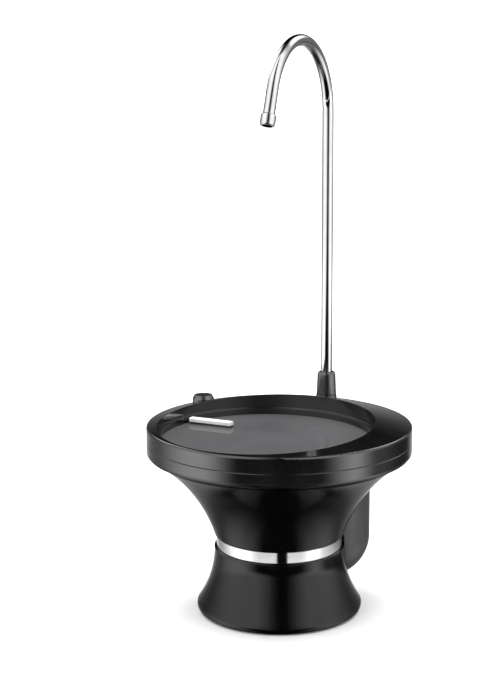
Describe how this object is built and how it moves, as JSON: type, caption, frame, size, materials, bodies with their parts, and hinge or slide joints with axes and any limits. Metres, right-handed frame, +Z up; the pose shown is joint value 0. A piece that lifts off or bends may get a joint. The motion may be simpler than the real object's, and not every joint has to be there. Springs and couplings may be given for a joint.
{
  "type": "electric water jug pump",
  "caption": "Battery water pump for a jug neck: flared black body, round tray with a glass plate, press button, swivelling steel swan-neck spout and rear pod.",
  "frame": {"origin": "middle of the skirt's underside, on the body's upright axis", "axes": "+Z up along the body's axis, -Y towards the side seen in the picture, +X to its right"},
  "size_m": [0.18, 0.18, 0.3891],
  "materials": {
    "ring_black": "satin",
    "body_black": "gloss",
    "pod_black": "satin",
    "plate_glass": "polished",
    "bright_band": "satin",
    "spout_steel": "polished",
    "light_white": "translucent",
    "key_black": "satin",
    "rubber_black": "matte",
    "silicone": "matte",
    "natural_plastic": "matte",
    "grey_plastic": "matte",
    "board_green": "matte",
    "zinc_steel": "brushed",
    "cell_wrap": "satin",
    "winding": "satin",
    "magnet": "matte"
  },
  "bodies": {
    "housing": {"tray_rim": "ring_black", "tray_base": "ring_black", "plate_gasket": "rubber_black", "glass_plate": "plate_glass", "light_foot": "key_black", "light_bar": "light_white", "button_spring": "zinc_steel", "tact_switch": "grey_plastic", "switch_board": "board_green", "spout_socket": "natural_plastic", "upper_body": "body_black", "trim_band": "bright_band", "base_skirt": "body_black", "skirt_deck": "grey_plastic", "neck_collar": "grey_plastic", "collar_ring": "grey_plastic", "neck_gasket": "silicone", "inlet_fitting": "natural_plastic", "inlet_hose": "silicone", "outlet_hose": "silicone", "hose_clips": "zinc_steel", "rear_pod": "pod_black", "flap_pin": "zinc_steel", "control_board": "board_green", "charge_socket": "zinc_steel", "battery_cell": "cell_wrap", "battery_cradle": "grey_plastic", "motor_can": "zinc_steel", "motor_magnets": "magnet", "motor_end_cap": "natural_plastic", "diaphragm": "rubber_black", "valve_plate": "natural_plastic", "check_valves": "silicone", "pump_frame": "grey_plastic", "pump_cover": "grey_plastic", "pump_mount": "rubber_black", "pump_screws": "zinc_steel", "waist_screws": "zinc_steel", "collar_screws": "zinc_steel", "tray_screws": "zinc_steel", "rim_screws": "zinc_steel", "pod_screws": "zinc_steel", "board_screws": "zinc_steel"},
    "button": {"button_cap": "key_black"},
    "spout_base": {"spout_sleeve": "key_black", "spout_seals": "rubber_black"},
    "spout": {"spout_tube": "spout_steel", "spout_nozzle": "spout_steel"},
    "port_flap": {"charge_flap": "rubber_black"},
    "rotor": {"motor_rotor": "winding", "rotor_shaft": "zinc_steel", "eccentric": "natural_plastic", "drive_pin": "zinc_steel"},
    "wobbler": {"wobble_plate": "natural_plastic"}
  },
  "joints": [
    {"name": "button_press", "type": "slide", "parent": "housing", "child": "button", "axis": [0, 0, -1], "range_m": [0, 0.0016], "stiffness_N_per_m": 400, "springref_m": -0.003, "deforming": ["button_spring"]},
    {"name": "spout_lift", "type": "slide", "parent": "housing", "child": "spout_base", "axis": [0, 0, 1], "range_m": [0, 0.03]},
    {"name": "spout_swivel", "type": "hinge", "parent": "spout_base", "child": "spout", "pos_m": [0.03392, 0.06745, 0.14], "axis": [0, 0, 1], "continuous": true},
    {"name": "flap_open", "type": "hinge", "parent": "housing", "child": "port_flap", "pos_m": [0.041, 0.05552, 0.0623], "axis": [-0.9659, 0.2588, 0], "range_deg": [0, 100]},
    {"name": "motor_spin", "type": "hinge", "parent": "housing", "child": "rotor", "pos_m": [0, 0, 0.09], "axis": [0, 0, 1], "continuous": true},
    {"name": "wobble_turn", "type": "hinge", "parent": "rotor", "child": "wobbler", "pos_m": [0, 0, 0.075], "axis": [0.1045, 0, 0.9945], "continuous": true}
  ],
  "couplings": [
    {"joint": "wobble_turn", "follows": "motor_spin", "ratio": -1}
  ]
}
